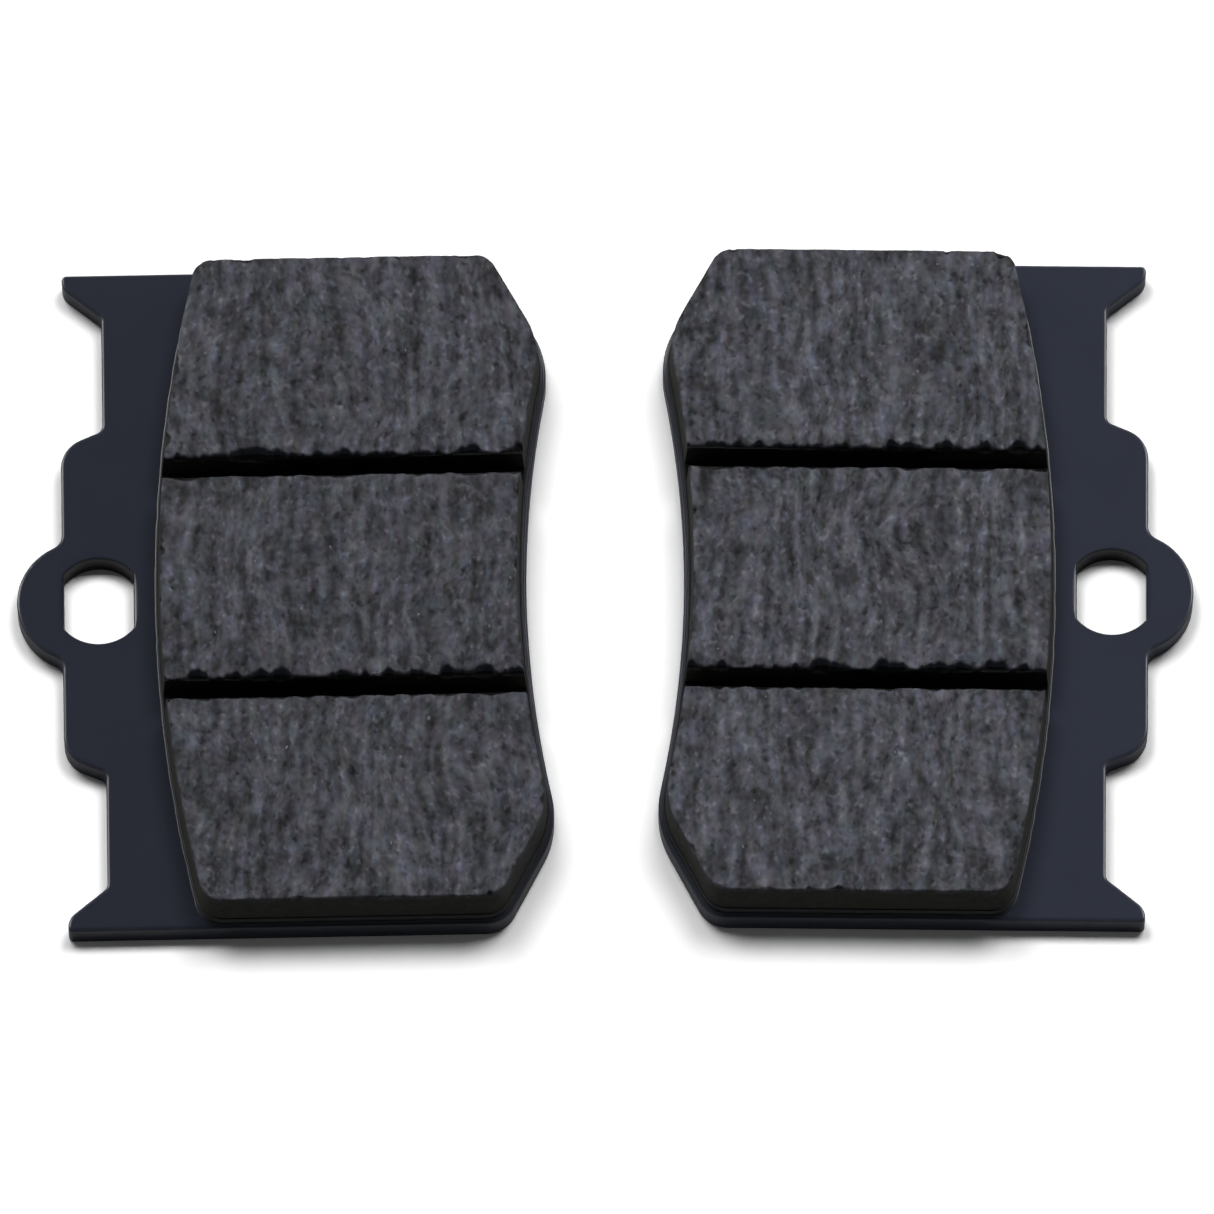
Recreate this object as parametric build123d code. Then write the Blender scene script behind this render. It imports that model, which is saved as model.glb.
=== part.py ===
from build123d import *

import os
from math import cos, radians, sin, sqrt, tan

os.makedirs("parts", exist_ok=True)

# A pair of motorcycle disc brake pads for one caliper, a left one and its mirror image,
# lying on their backing plates with the friction faces up. Millimetres.
# Each pad is drawn in its own frame: pin hole on the Z axis, +X outward from the disc's
# axle to the locating tab, Y along the pad, back face at Z = 0.

# Backing plate, fine-blanked steel
plate_length = 70.0
plate_thickness = 3.2
plate_rim = 0.9             # ledge left round the friction face
edge_round = 0.4            # die roll on the upper outer edge
shoulder_reach = 3.65       # pin hole centre to the straight outer edge
recess_depth = 4.2
recess_foot = 12.15         # flat floor of each recess, along the pad
horn_reach = 3.4            # pin hole centre to the tips of the horns
horn_width = 1.4            # outer edge of each horn, to its heel
horn_slope = 39.0           # flank of the horn, degrees from square to the outer edge
shoulder_slope = 22.7       # side of the shoulder, the same way
horn_tip_round = 0.5
horn_heel_round = 1.8       # where the outer edge turns into the flank
recess_round = 0.9
shoulder_round = 3.2

# Locating tab and its double-D pin hole
tab_radius = 6.4
tab_offset = 1.8            # centre of the tab's arc, outward from the pin hole
tab_root_round = 1.5
pin_hole_diameter = 9.0
pin_hole_flats = 7.0
pin_hole_corner = 0.35
pin_hole_chamfer = 0.35

# Friction band, concentric with the disc
outer_radius = 145.0        # swept by the outer edge of a 292 mm disc
band_width = 35.8
band_outset = 6.2           # pin hole centre to the band's outer edge
band_corner = 39.65         # pin hole centre to the start of the inner corner cut
corner_cut_angle = 28.4     # degrees from the pad's long side
cut_knee_round = 8.0        # where the corner cut meets the inner arc
cut_end_round = 2.4         # where it meets the end
outer_corner_round = 2.2

# Layers on the plate
bond_thickness = 0.15
bond_margin = 0.65          # bead of adhesive pressed out round the material
underlayer_thickness = 1.05
underlayer_margin = 0.4
friction_thickness = 5.0
friction_draft = 3.0        # degrees, for release from the mould
slot_width = 1.8
slot_spacing = 23.5
slot_floor = 0.7            # friction material left below the slots
slot_floor_round = 0.3

# Keying holes, filled by the underlayer when it is moulded
keying_diameter = 8.0
keying_spacing = 35.4
keying_inset = 18.0         # from the band's outer edge
keying_recess = 0.1         # plug stands back from the back face

# How the two pads lie beside each other
pin_hole_spacing = 101.6
left_turn = 1.1             # degrees about Z
right_turn = -0.6
left_forward = -0.5         # along Y
right_forward = 0.5

underlayer_base = plate_thickness + bond_thickness
friction_base = underlayer_base + underlayer_thickness
overall_height = friction_base + friction_thickness
axle_x = -band_outset - outer_radius
inner_radius = outer_radius - band_width
far = 2 * outer_radius


def corners_at(outline, points):
    """The outline's corners nearest to the given points and to their mirror images."""
    mirrored = [(x, -y) for x, y in points]
    return [outline.vertices().sort_by_distance((x, y, 0))[0] for x, y in points + mirrored]


def both_ways(shape):
    """A flat shape and its mirror image across the pad's middle."""
    return shape + mirror(shape, about=Plane.XZ)


def knee_of_cut(end_y, start_x, arc_radius):
    """Where the corner cut, which starts on the end, meets the inner arc."""
    slope = tan(radians(corner_cut_angle))
    # The cut runs along x = start_x - slope * (end_y - y), the arc about (axle_x, 0).
    reach = start_x - slope * end_y - axle_x
    a = 1 + slope**2
    b = slope * reach
    c = reach**2 - arc_radius**2
    y = (-b + sqrt(b**2 - a * c)) / a
    return start_x - slope * (end_y - y), y


def inner_side(margin):
    """Ends, corner cuts and inner arc of the band grown by a margin, with sharp corners.

    Returns the outline, open far past the outer side, and its corners on one half."""
    end_y = plate_length / 2 - plate_rim + margin
    arc_radius = inner_radius - margin
    # Moving the cut outward by the margin moves its start along the end of the band.
    angle = radians(corner_cut_angle)
    start_x = -band_corner - margin * (1 - sin(angle)) / cos(angle)
    knee = knee_of_cut(end_y, start_x, arc_radius)
    blank = Pos(far / 2 + axle_x, 0) * Rectangle(far, 2 * end_y)
    blank -= Pos(axle_x, 0) * Circle(arc_radius)
    corner = Polygon((start_x, end_y), knee, (axle_x, knee[1]), (axle_x, end_y), align=None)
    return blank - both_ways(corner), (start_x, end_y), knee


def band_outline(margin):
    """The friction band seen from above, grown all round by a margin."""
    outline, end_corner, knee = inner_side(margin)
    outline &= Pos(axle_x, 0) * Circle(outer_radius + margin)
    end_y = end_corner[1]
    outer_corner = (axle_x + sqrt((outer_radius + margin) ** 2 - end_y**2), end_y)
    outline = fillet(corners_at(outline, [knee]), cut_knee_round + margin)
    outline = fillet(corners_at(outline, [end_corner]), cut_end_round + margin)
    return fillet(corners_at(outline, [outer_corner]), outer_corner_round + margin)


def plate_outline():
    """Backing plate seen from above, with its horns, recesses, shoulder and tab."""
    blank, end_corner, knee = inner_side(plate_rim)
    outer_edge = Pos(far / 2 + shoulder_reach, 0) * Rectangle(far, far)
    outline = blank - outer_edge

    end_y = plate_length / 2
    floor_x = shoulder_reach - recess_depth
    horn_root = end_y - horn_width - (horn_reach - floor_x) * tan(radians(horn_slope))
    shoulder_foot = horn_root - recess_foot
    shoulder_top = shoulder_foot - recess_depth * tan(radians(shoulder_slope))
    horn_tip = (horn_reach, end_y)
    horn_heel = (horn_reach, end_y - horn_width)
    floor_outer = (floor_x, horn_root)
    floor_inner = (floor_x, shoulder_foot)
    shoulder = (shoulder_reach, shoulder_top)
    beyond_tip = (shoulder_reach, end_y)
    recess = Polygon(beyond_tip, horn_tip, horn_heel, floor_outer, floor_inner, shoulder, align=None)
    outline -= both_ways(recess)

    outline += Pos(tab_offset, 0) * Circle(tab_radius)
    tab_root = (shoulder_reach, sqrt(tab_radius**2 - (shoulder_reach - tab_offset) ** 2))
    outline = fillet(corners_at(outline, [tab_root]), tab_root_round)
    outline = fillet(corners_at(outline, [shoulder]), shoulder_round)
    outline = fillet(corners_at(outline, [floor_outer, floor_inner]), recess_round)
    outline = fillet(corners_at(outline, [horn_heel]), horn_heel_round)
    outline = fillet(corners_at(outline, [horn_tip]), horn_tip_round)
    outline = fillet(corners_at(outline, [knee]), cut_knee_round + plate_rim)
    return fillet(corners_at(outline, [end_corner]), cut_end_round + plate_rim)


def pin_hole_outline():
    """Double-D hole, flat towards the friction material and towards the tab."""
    hole = Circle(pin_hole_diameter / 2) & Rectangle(pin_hole_flats, pin_hole_diameter)
    return fillet(hole.vertices(), pin_hole_corner)


def keying_places():
    """Centres of the keying holes, on the middle line of the band's outer lands."""
    x = -band_outset - keying_inset
    return [Pos(x, side * keying_spacing / 2, 0) for side in (-1, 1)]


def backing_plate():
    """Fine-blanked plate: rounded upper edge, pin hole with a chamfered mouth, keying holes."""
    plate = extrude(plate_outline() - pin_hole_outline(), plate_thickness)
    top = plate.faces().sort_by(Axis.Z)[-1]
    plate = fillet(top.outer_wire().edges(), edge_round)
    top = plate.faces().sort_by(Axis.Z)[-1]
    plate = chamfer(top.inner_wires()[0].edges(), pin_hole_chamfer)
    for place in keying_places():
        plate -= place * extrude(Circle(keying_diameter / 2), plate_thickness)
    return plate


def bond_film():
    """Adhesive between plate and underlayer, open over the keying holes."""
    film = extrude(band_outline(bond_margin), bond_thickness)
    for place in keying_places():
        film -= place * extrude(Circle(keying_diameter / 2), bond_thickness)
    return Pos(0, 0, plate_thickness) * film


def underlayer():
    """Insulating base of the moulding, with the plugs that key it into the plate."""
    layer = extrude(band_outline(underlayer_margin), underlayer_thickness)
    layer = Pos(0, 0, underlayer_base) * layer
    plug_height = underlayer_base + underlayer_thickness / 2 - keying_recess
    plug = Pos(0, 0, keying_recess) * extrude(Circle(keying_diameter / 2), plug_height)
    for place in keying_places():
        layer += place * plug
    return layer


def friction_block():
    """Moulded friction material with three lands between two straight slots."""
    taper = friction_thickness * tan(radians(friction_draft))
    block = loft([
        Pos(0, 0, friction_base) * band_outline(taper),
        Pos(0, 0, overall_height) * band_outline(0),
    ], ruled=True)
    depth = friction_thickness - slot_floor
    slot = Rectangle(slot_width, 2 * depth)
    slot = extrude(Plane.YZ * fillet(slot.vertices(), slot_floor_round), far)
    for side in (-1, 1):
        block -= Pos(axle_x, side * slot_spacing / 2, overall_height) * slot
    return block


def lay_down(piece, side, turn, forward):
    """Put one pad's piece where it lies: side 1 is the right pad, -1 its mirror image."""
    if side < 0:
        piece = mirror(piece, about=Plane.YZ)
    return Location((side * pin_hole_spacing / 2, forward, 0), (0, 0, turn)) * piece


pieces = {
    "backing_plate": backing_plate(),
    "bond_film": bond_film(),
    "underlayer": underlayer(),
    "friction_block": friction_block(),
}
nodes = {}
for name, piece in pieces.items():
    nodes["left_" + name] = lay_down(piece, -1, left_turn, left_forward)
    nodes["right_" + name] = lay_down(piece, 1, right_turn, right_forward)

# The origin is the middle of the pair, on the surface that it lies on.
left_box = nodes["left_backing_plate"].bounding_box()
box = left_box.add(nodes["right_backing_plate"].bounding_box())
middle = Pos(-box.center().X, -box.center().Y, 0)
for name, node in nodes.items():
    export_step(middle * node, f"parts/{name}.step")
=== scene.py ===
"""A pair of motorcycle disc brake pads, lying friction side up on a pale studio floor.

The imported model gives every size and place. This script finishes its pieces: coated plates,
a bead of adhesive, the insulating underlayer and the ground friction material.
"""

import math

import bmesh
import bpy
import numpy as np
from mathutils import Euler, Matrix, Vector, kdtree, noise


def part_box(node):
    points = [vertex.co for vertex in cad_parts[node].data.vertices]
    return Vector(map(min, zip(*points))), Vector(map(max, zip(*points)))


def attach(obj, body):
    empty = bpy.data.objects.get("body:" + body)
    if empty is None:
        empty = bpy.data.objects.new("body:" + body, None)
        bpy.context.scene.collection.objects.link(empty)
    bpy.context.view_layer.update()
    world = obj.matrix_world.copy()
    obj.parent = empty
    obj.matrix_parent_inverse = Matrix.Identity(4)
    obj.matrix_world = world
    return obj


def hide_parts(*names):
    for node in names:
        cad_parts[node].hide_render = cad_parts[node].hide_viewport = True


bl_info = {
    "name": "Brake pad pair",
    "version": (1, 0, 0),
    "blender": (4, 5, 0),
    "location": "3D View > Sidebar > Brake pads",
    "description": "Finishes a pair of motorcycle disc brake pads on their packed model",
    "category": "Object",
}

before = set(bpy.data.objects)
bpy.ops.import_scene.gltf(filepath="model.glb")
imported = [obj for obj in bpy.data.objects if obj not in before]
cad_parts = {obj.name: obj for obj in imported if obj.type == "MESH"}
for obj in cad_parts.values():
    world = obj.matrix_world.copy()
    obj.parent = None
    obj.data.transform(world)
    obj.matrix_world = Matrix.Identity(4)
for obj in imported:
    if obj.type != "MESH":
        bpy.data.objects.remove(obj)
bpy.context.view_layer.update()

MM = 0.001
SIDES = {"left": -1, "right": 1}
OUTLINE_STEP = 0.3 * MM  # between the points of a layer's outline


def linear(hex_colour):
    """An sRGB hex colour as linear red, green and blue."""
    parts = [int(hex_colour[i : i + 2], 16) / 255 for i in (0, 2, 4)]
    return tuple(c / 12.92 if c <= 0.04045 else ((c + 0.055) / 1.055) ** 2.4 for c in parts)


def length(name, about, millimetres):
    """A length property, kept in metres."""
    return bpy.props.FloatProperty(
        name=name, description=about, default=millimetres * MM, min=0.0, unit="LENGTH", precision=5
    )


def angle(name, about, degrees):
    """An angle property, kept in radians."""
    return bpy.props.FloatProperty(
        name=name, description=about, default=math.radians(degrees), unit="ROTATION"
    )


def colour(name, about, hex_colour):
    """A colour property, from an sRGB hex value."""
    return bpy.props.FloatVectorProperty(
        name=name, description=about, default=linear(hex_colour), subtype="COLOR", min=0.0, max=1.0
    )


def ratio(name, about, value):
    """A plain factor."""
    return bpy.props.FloatProperty(name=name, description=about, default=value, min=0.0)


class BandSizes(bpy.types.PropertyGroup):
    """Outline of the friction band and the way the two pads lie."""

    half_length: length("Half length", "Middle of the pad to the end of the face", 34.1)
    outer_radius: length("Outer radius", "Outer arc, about the disc's axle", 145.0)
    inner_radius: length("Inner radius", "Inner arc, about the disc's axle", 109.2)
    outset: length("Outset", "Outer arc inward from the pin hole", 6.2)
    corner: length("Corner", "Start of the corner cut, inward from the pin hole", 39.65)
    cut_angle: angle("Cut angle", "Corner cut, from the pad's long side", 28.4)
    knee_round: length("Knee round", "Round between the corner cut and the inner arc", 8.0)
    cut_round: length("Cut round", "Round between the corner cut and the end", 2.4)
    corner_round: length("Corner round", "Round of the outer corners", 2.2)
    slot_width: length("Slot width", "Width of the two slots", 1.8)
    slot_spacing: length("Slot spacing", "Middle of one slot to the other", 23.5)
    slot_round: length("Slot round", "Round in the foot of a slot", 0.3)
    slot_floor: length("Slot floor", "Friction material left under a slot", 0.7)
    keying_radius: length("Keying radius", "Plugs that fill the plate's keying holes", 4.0)
    keying_spacing: length("Keying spacing", "One plug to the other", 35.4)
    keying_inset: length("Keying inset", "Plugs from the outer arc", 18.0)
    hole_radius: length("Hole radius", "Pin hole, across its arcs", 4.5)
    hole_flat: length("Hole flat", "Middle of the pin hole to its flats", 3.5)
    hole_corner: length("Hole corner", "Round between an arc and a flat", 0.35)
    left_turn: angle("Left turn", "How the left pad lies, about the vertical", 1.1)
    right_turn: angle("Right turn", "How the right pad lies, about the vertical", -0.6)


class LayerSizes(bpy.types.PropertyGroup):
    """Steps and small shapes where one layer meets the next."""

    taper: length("Taper", "Friction wall's lean between top and foot", 0.262)
    underlayer_reach: length("Underlayer reach", "Underlayer beyond the face's outline", 0.4)
    underlayer_round: length("Underlayer round", "Worn upper edge of the underlayer", 0.08)
    bead_reach: length("Bead reach", "Adhesive beyond the face's outline", 0.65)
    bead_waver: length("Bead waver", "How far the bead's edge draws in", 0.1)
    cell: length("Cell", "Spacing of the face's mesh", 0.21)
    mouth_reach: length("Mouth reach", "Round of the pin hole's mouth, middle of its flats", 0.75)
    mouth_narrow: length("Mouth narrow", "The same round, along the hole's arcs", 0.22)
    mouth_depth: length("Mouth depth", "Round of the pin hole's mouth, down the hole", 0.45)


class GrindSizes(bpy.types.PropertyGroup):
    """What grinding and slotting leave on the friction material."""

    streak_width: length("Streak width", "Across the grinding direction", 1.08)
    streak_length: length("Streak length", "Along the grinding direction", 7.0)
    tuft_length: length("Tuft length", "Short marks along the grinding direction", 1.6)
    streak_depth: length("Streak depth", "Hollows between the streaks", 0.04)
    grain: length("Grain", "Size of the filler grains", 0.45)
    patch: length("Patch", "Size of the uneven patches", 3.4)
    pit_size: length("Pit size", "Places where grains were torn out", 1.0)
    pit_depth: length("Pit depth", "Depth of the torn places", 0.14)
    edge_wear: length("Edge wear", "Edge broken all along", 0.14)
    cutter_wear: length("Cutter wear", "More of it where the slot cutter leaves", 0.35)
    rim_chips: length("Rim chips", "Largest chips on the outline", 0.6)
    slot_chips: length("Slot chips", "Largest chips beside a slot", 0.6)
    chip_length: length("Chip length", "Size of the chips along an edge", 2.4)
    wall_grain: length("Wall grain", "Roughness of moulded and sawn walls", 0.03)
    fleck_size: length("Fleck size", "Radius of a mineral flake", 0.28)
    fleck_sunk: length("Fleck sunk", "Middle of a flake below the face", 0.045)
    fleck_density: ratio("Fleck density", "Flakes on a square metre of the face", 2.6e4)
    seed: bpy.props.IntProperty(name="Seed", description="Changes every pattern", default=7, min=0)


class PadColours(bpy.types.PropertyGroup):
    """Colours of the finishes, one set for the pair."""

    coat: colour("Coat", "Electrophoretic coat of the plates", "2b2f3b")
    # Paler than the coat: partly thin coat over the edges, partly painted highlight.
    coat_edge: colour("Coat at edges", "Coat where it draws thin over an edge", "31343f")
    compound_dark: colour("Compound, dark", "Graphite and rubber in the compound", "1d1d1c")
    compound_light: colour("Compound, light", "Ground mineral filler", "75767f")
    compound_skin: colour("Moulded skin", "Pressed walls of the block", "33332e")
    # Also darkens the chips, partly as painted shade, and the slot walls, wholly as painted shade.
    compound_inside: colour("Broken compound", "Inside of the compound", "121418")
    underlayer: colour("Underlayer", "Insulating layer", "17181b")
    bead: colour("Bead", "Pressed-out adhesive", "262930")
    fleck: colour("Fleck", "Mineral flakes", "767a82")
    # Painted lighting: the coat factors make the left plate darker and the right one lighter, as uneven
    # light would.
    left_coat: ratio("Left coat", "Coat of the left plate beside the right one's", 0.72)
    right_coat: ratio("Right coat", "Coat of the right plate", 1.05)
    # Painted lighting: the block factors make the left block and underlayer darker than the right ones, as
    # less light would.
    left_block: ratio("Left block", "Compound of the left block beside the right one's", 0.88)
    right_block: ratio("Right block", "Compound of the right block", 1.0)


class StageSizes(bpy.types.PropertyGroup):
    """Floor, lamps and camera."""

    floor: length("Floor", "Radius of the studio floor", 4000.0)
    camera_distance: length("Camera distance", "Camera to the middle of the pair", 2008.6)
    camera_tilt: angle("Camera tilt", "Camera from straight above, towards the viewer", 20.0)
    focal_length: bpy.props.FloatProperty(
        name="Focal length", description="Camera lens, in millimetres", default=593.08, min=1.0
    )
    shadow_elevation: angle("Key elevation", "Height of the key lamps above the floor", 68.7)


# Nodes


def feed(tree, made, inputs):
    """Set a node's sockets, given by name or number, to values, other sockets or nodes.

    A node given as a value is linked by its first output in use."""
    for key, value in inputs.items():
        if isinstance(value, bpy.types.Node):
            value = next(output for output in value.outputs if output.enabled)
        if isinstance(value, bpy.types.NodeSocket):
            tree.links.new(value, made.inputs[key])
        else:
            made.inputs[key].default_value = value


def node(tree, kind, inputs=None, **settings):
    """Add a node with its settings and with its inputs, as feed takes them."""
    made = tree.nodes.new(kind)
    for name, value in settings.items():
        setattr(made, name, value)
    feed(tree, made, inputs or {})
    return made


def rgba(value, factor=1.0):
    """A colour times a factor, with full alpha, for a node's socket."""
    return (*(c * factor for c in value), 1.0)


# Outline of the friction band


class Band:
    """The friction band seen from above in its pad's own frame.

    The pin hole is the origin, x runs outward from the disc's axle, y along the pad."""

    def __init__(self, sizes):
        self.sizes = sizes
        self.end = sizes.half_length
        self.axle = np.array([-sizes.outset - sizes.outer_radius, 0.0])
        self.slope = math.tan(sizes.cut_angle)
        self.start = np.array([-sizes.corner, self.end])
        along = np.array([math.sin(sizes.cut_angle), math.cos(sizes.cut_angle)])
        self.inward = np.array([along[1], -along[0]])
        # The knee touches the inner arc and the corner cut.
        reach = self.start + sizes.knee_round * self.inward - self.axle
        half = reach @ along
        rest = reach @ reach - (sizes.inner_radius + sizes.knee_round) ** 2
        self.knee = reach + self.axle + (math.sqrt(half**2 - rest) - half) * along
        # The next round touches the cut and the end, the last one the end and the outer arc.
        back = sizes.cut_round * (along[0] - 1) / along[1]
        self.cut = self.start + sizes.cut_round * self.inward + back * along
        low = self.end - sizes.corner_round
        inside = sizes.outer_radius - sizes.corner_round
        self.corner = np.array([self.axle[0] + math.sqrt(inside**2 - low**2), low])

    def inner(self, y):
        """Points of the side towards the axle, and the directions that point out of it."""
        s, up = self.sizes, np.abs(y)
        on_arc = self.axle + (self.knee - self.axle) * s.inner_radius / (s.inner_radius + s.knee_round)
        first = (self.knee - s.knee_round * self.inward)[1]
        last = (self.cut - s.cut_round * self.inward)[1]
        where = [up <= on_arc[1], up <= first, up <= last]
        arc = self.axle[0] + np.sqrt(s.inner_radius**2 - up**2)
        knee = self.knee[0] - np.sqrt(np.maximum(0, s.knee_round**2 - (up - self.knee[1]) ** 2))
        line = self.start[0] - self.slope * (self.end - up)
        turn = self.cut[0] - np.sqrt(np.maximum(0, s.cut_round**2 - (up - self.cut[1]) ** 2))
        x = np.select(where, [arc, knee, line], turn)
        ways = [
            -np.stack([arc - self.axle[0], up], -1) / s.inner_radius,
            np.stack([knee - self.knee[0], up - self.knee[1]], -1) / s.knee_round,
            np.broadcast_to(-self.inward, (len(up), 2)),
        ]
        last_way = np.stack([turn - self.cut[0], up - self.cut[1]], -1) / s.cut_round
        way = np.select([w[:, None] for w in where], ways, last_way)
        return np.stack([x, y], -1), way * np.stack([np.ones_like(y), np.sign(y) + (y == 0)], -1)

    def outer(self, y):
        """The same for the side towards the pin hole."""
        s, up = self.sizes, np.abs(y)
        on_arc = up <= self.corner[1] * s.outer_radius / (s.outer_radius - s.corner_round)
        arc = self.axle[0] + np.sqrt(s.outer_radius**2 - up**2)
        turn = self.corner[0] + np.sqrt(np.maximum(0, s.corner_round**2 - (up - self.corner[1]) ** 2))
        arc_way = np.stack([arc - self.axle[0], up], -1) / s.outer_radius
        turn_way = np.stack([turn - self.corner[0], up - self.corner[1]], -1) / s.corner_round
        way = np.where(on_arc[:, None], arc_way, turn_way)
        x = np.where(on_arc, arc, turn)
        return np.stack([x, y], -1), way * np.stack([np.ones_like(y), np.sign(y) + (y == 0)], -1)

    def end_rows(self, step):
        """Rows through the rounds at the pad's end, closer together towards the end."""
        r = self.sizes.cut_round
        turns = np.linspace(0, math.pi / 2, round(r * math.pi / 2 / step) + 1)
        return self.end - r + r * np.sin(turns)

    def loop(self, step):
        """The whole outline, anticlockwise, with the directions that point out of it."""
        half = spread(0, self.end - self.sizes.cut_round, step)
        up = np.concatenate([half, self.end_rows(step)[1:]])
        y = np.concatenate([-up[:0:-1], up])
        right, right_way = self.outer(y)
        left, left_way = self.inner(y[::-1])
        count = round((right[-1, 0] - left[0, 0]) / step)
        share = np.linspace(0, 1, count + 1)[1:-1, None]
        far_end = right[-1] + share * (left[0] - right[-1])
        near_end = left[-1] + share * (right[0] - left[-1])
        points = np.concatenate([right, far_end, left, near_end])
        flat = np.zeros_like(far_end)
        ways = [right_way, flat + [0, 1], left_way, flat + [0, -1]]
        return points, np.concatenate(ways)


def spread(first, last, step):
    """Even stations from first to last, both included, about a step apart."""
    return np.linspace(first, last, max(1, round((last - first) / step)) + 1)


def graded(first, last, step, fine, reach):
    """Stations that lie closer together near both ends."""
    near = spread(first, first + reach, fine)
    far = spread(last - reach, last, fine)
    return np.concatenate([near[:-1], spread(near[-1], far[0], step), far[1:]])


# Meshes


def settle(points, side, sizes, node_name, box):
    """Turn a pad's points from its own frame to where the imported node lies.

    box gives the lowest and highest corner of the node's shape in the pad's frame."""
    turn = sizes.left_turn if side < 0 else sizes.right_turn
    spin = np.array([[math.cos(turn), -math.sin(turn)], [math.sin(turn), math.cos(turn)]])
    flip = np.array([side, 1.0])

    def placed(xy):
        return (xy * flip) @ spin.T

    outline = placed(box)
    low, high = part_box(node_name)
    middle = np.array([(low.x + high.x) / 2, (low.y + high.y) / 2])
    shift = middle - (outline.min(0) + outline.max(0)) / 2
    size = np.array([high.x - low.x, high.y - low.y])
    if np.abs(size - np.ptp(outline, axis=0)).max() > 0.05 * MM:
        raise RuntimeError(f"{node_name} doesn't have the size that the band's outline gives")
    moved = np.array(points, float)
    moved[:, :2] = placed(moved[:, :2]) + shift
    return moved, flip, spin


def at_height(flat, z):
    """Flat points with a height, one for all of them or one for each."""
    return np.concatenate([flat, np.broadcast_to(z, len(flat))[:, None]], -1)


def start_mesh(name, points, faces):
    """A mesh with its doubles merged, and the working copy that it is shaped in."""
    mesh = bpy.data.meshes.new(name)
    mesh.from_pydata(points.tolist(), [], faces)
    work = bmesh.new()
    work.from_mesh(mesh)
    bmesh.ops.remove_doubles(work, verts=work.verts, dist=0.0005 * MM)
    bmesh.ops.dissolve_degenerate(work, edges=work.edges, dist=0.0002 * MM)
    work.verts.ensure_lookup_table()
    return mesh, work


def lay_down(work, side, sizes, node_name, box):
    """Move a pad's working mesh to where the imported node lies, as settle does for points."""
    placed, flip, spin = settle([v.co for v in work.verts], side, sizes, node_name, box)
    for vert, point in zip(work.verts, placed):
        vert.co = point
    return flip, spin


def close_rims(work):
    """Cap the open rims, level by level, so that a rim inside another stays a hole."""
    levels = {}
    for edge in work.edges:
        if edge.is_boundary:
            levels.setdefault(round(edge.verts[0].co.z / (0.01 * MM)), []).append(edge)
    for rims in levels.values():
        bmesh.ops.triangle_fill(work, use_beauty=True, use_dissolve=False, edges=rims)
    if any(e.is_boundary for e in work.edges):
        raise RuntimeError("A piece's surface stays open")
    bmesh.ops.recalc_face_normals(work, faces=work.faces)


def finish_object(mesh, work):
    """Write the working copy back, closed and with its faces outward, and link its object."""
    close_rims(work)
    work.to_mesh(mesh)
    work.free()
    made = bpy.data.objects.new(mesh.name, mesh)
    bpy.context.scene.collection.objects.link(made)
    return made


def ring_object(name, points, faces, side, sizes, node_name, box):
    """A smooth layer from rings in the pad's frame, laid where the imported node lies."""
    mesh, work = start_mesh(name, points, faces)
    lay_down(work, side, sizes, node_name, box)
    for face in work.faces:
        face.smooth = True
    return finish_object(mesh, work)


def keep_result(made, modifier):
    """Keep what a modifier makes of an object as its plain mesh, and remove the modifier."""
    graph = bpy.context.evaluated_depsgraph_get()
    graph.update()
    result = bpy.data.meshes.new_from_object(made.evaluated_get(graph), depsgraph=graph)
    made.modifiers.remove(modifier)
    before = made.data
    made.data = result
    bpy.data.meshes.remove(before)
    result.name = made.name


def apply_tree(made, tree, values):
    """Run a Geometry Nodes tree on an object and keep its result as the plain mesh."""
    modifier = made.modifiers.new(tree.name, "NODES")
    modifier.node_group = tree
    for item in tree.interface.items_tree:
        if item.in_out == "INPUT" and item.name in values:
            modifier[item.identifier] = values[item.name]
    keep_result(made, modifier)
    while made.data.materials[0] is None:
        made.data.materials.pop(index=0)


def tree_with_inputs(name, sockets):
    """A Geometry Nodes tree with its named inputs, and its input and output nodes."""
    tree = bpy.data.node_groups.new(name, "GeometryNodeTree")
    tree.interface.new_socket("Geometry", in_out="INPUT", socket_type="NodeSocketGeometry")
    for socket_name, kind in sockets:
        tree.interface.new_socket(socket_name, in_out="INPUT", socket_type=kind)
    tree.interface.new_socket("Geometry", in_out="OUTPUT", socket_type="NodeSocketGeometry")
    return tree, node(tree, "NodeGroupInput").outputs, node(tree, "NodeGroupOutput")


# Friction blocks


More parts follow.
